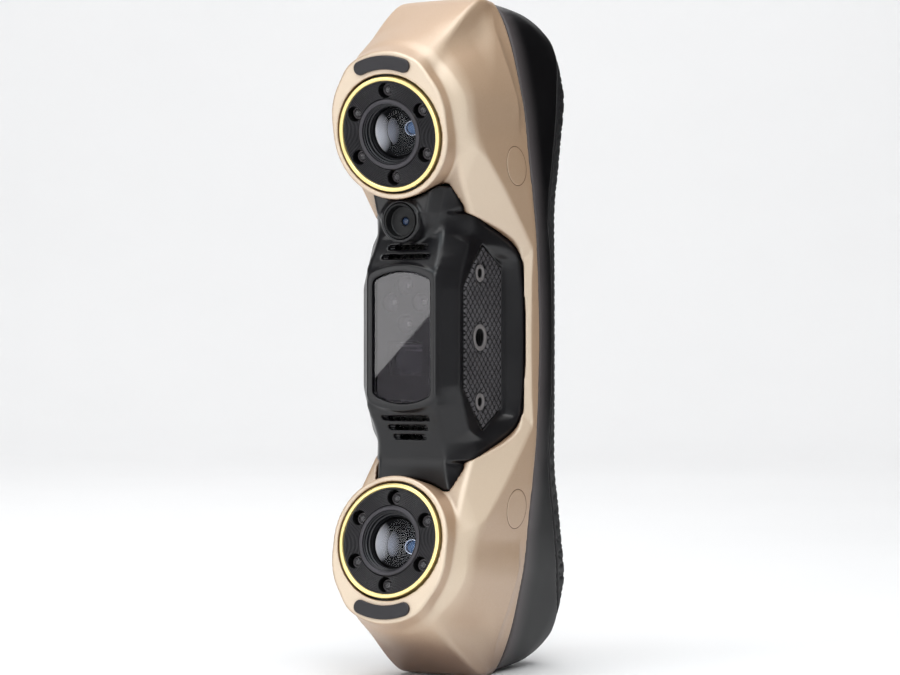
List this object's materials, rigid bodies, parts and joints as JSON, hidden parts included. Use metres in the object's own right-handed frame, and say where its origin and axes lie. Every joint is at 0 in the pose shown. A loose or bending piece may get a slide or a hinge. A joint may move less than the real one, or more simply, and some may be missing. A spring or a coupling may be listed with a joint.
{
  "type": "handheld 3d scanner",
  "caption": "Handheld 3-D scanner with toed-in camera pods, centre projector window, colour camera, side threads and rear push keys.",
  "frame": {"origin": "centre of the overall box: half way along the body's length, width and depth", "axes": "+Z along the long axis towards the end with the colour camera, cameras and window look towards -Y, keys face +Y, +X is the side with the threaded inserts"},
  "size_m": [0.048, 0.0822, 0.203],
  "materials": {
    "gold_shell": "satin champagne",
    "black_shell": "fine matte grain",
    "black_grip": "diamond knurl",
    "black_housing": "semi matte",
    "gold_trim": "polished",
    "steel": "machined",
    "black_anodised": "black anodised",
    "bare_aluminium": "machined",
    "lens_glass": "coated",
    "window_glass": "tinted",
    "lamp_white": "lens dome",
    "board_green": "solder mask",
    "chip_black": "moulded",
    "key_black": "soft touch",
    "pad_grey": "soft",
    "black_rubber": "smooth soft"
  },
  "bodies": {
    "scanner_body": {"front_casing": "gold_shell", "back_casing": "black_shell", "rear_cover": "black_grip", "centre_housing": "black_housing", "grip_pad_right": "black_grip", "grip_pad_left": "black_grip", "tripod_insert": "steel", "accessory_inserts": "steel", "insert_carrier": "bare_aluminium", "side_screws": "steel", "side_plugs": "gold_shell", "trim_ring_upper": "gold_trim", "camera_bezel_upper": "black_housing", "lamp_board_upper": "board_green", "lamps_upper": "lamp_white", "lens_barrel_upper": "black_anodised", "front_lens_upper": "lens_glass", "inner_lens_upper": "lens_glass", "camera_mount_upper": "black_anodised", "sensor_board_upper": "board_green", "image_sensor_upper": "chip_black", "bumper_upper": "black_rubber", "vent_mesh_upper": "steel", "trim_ring_lower": "gold_trim", "camera_bezel_lower": "black_housing", "lamp_board_lower": "board_green", "lamps_lower": "lamp_white", "lens_barrel_lower": "black_anodised", "front_lens_lower": "lens_glass", "inner_lens_lower": "lens_glass", "camera_mount_lower": "black_anodised", "sensor_board_lower": "board_green", "image_sensor_lower": "chip_black", "bumper_lower": "black_rubber", "vent_mesh_lower": "steel", "rgb_bezel": "black_anodised", "rgb_lens": "lens_glass", "rgb_camera_module": "chip_black", "projector_window": "window_glass", "window_mask": "black_anodised", "fill_lamps": "lamp_white", "fill_lamp_board": "board_green", "projector_body": "black_anodised", "projector_lens": "lens_glass", "optical_bench": "bare_aluminium", "main_board": "board_green", "board_screws": "steel", "thermal_pad": "pad_grey", "heat_sink": "bare_aluminium", "key_board": "board_green", "key_switches": "chip_black", "status_light": "lamp_white", "port_bezel": "black_shell", "usb_socket": "steel", "port_board": "board_green"},
    "start_key": {"start_key": "key_black"},
    "plus_key": {"plus_key": "key_black"},
    "minus_key": {"minus_key": "key_black"}
  },
  "joints": [
    {"name": "start_press", "type": "slide", "parent": "scanner_body", "child": "start_key", "axis": [0, -1, 0], "range_m": [0, 0.0006], "stiffness_N_per_m": 2000},
    {"name": "plus_press", "type": "slide", "parent": "scanner_body", "child": "plus_key", "axis": [0, -1, 0], "range_m": [0, 0.0006], "stiffness_N_per_m": 2000},
    {"name": "minus_press", "type": "slide", "parent": "scanner_body", "child": "minus_key", "axis": [0, -1, 0], "range_m": [0, 0.0006], "stiffness_N_per_m": 2000}
  ]
}
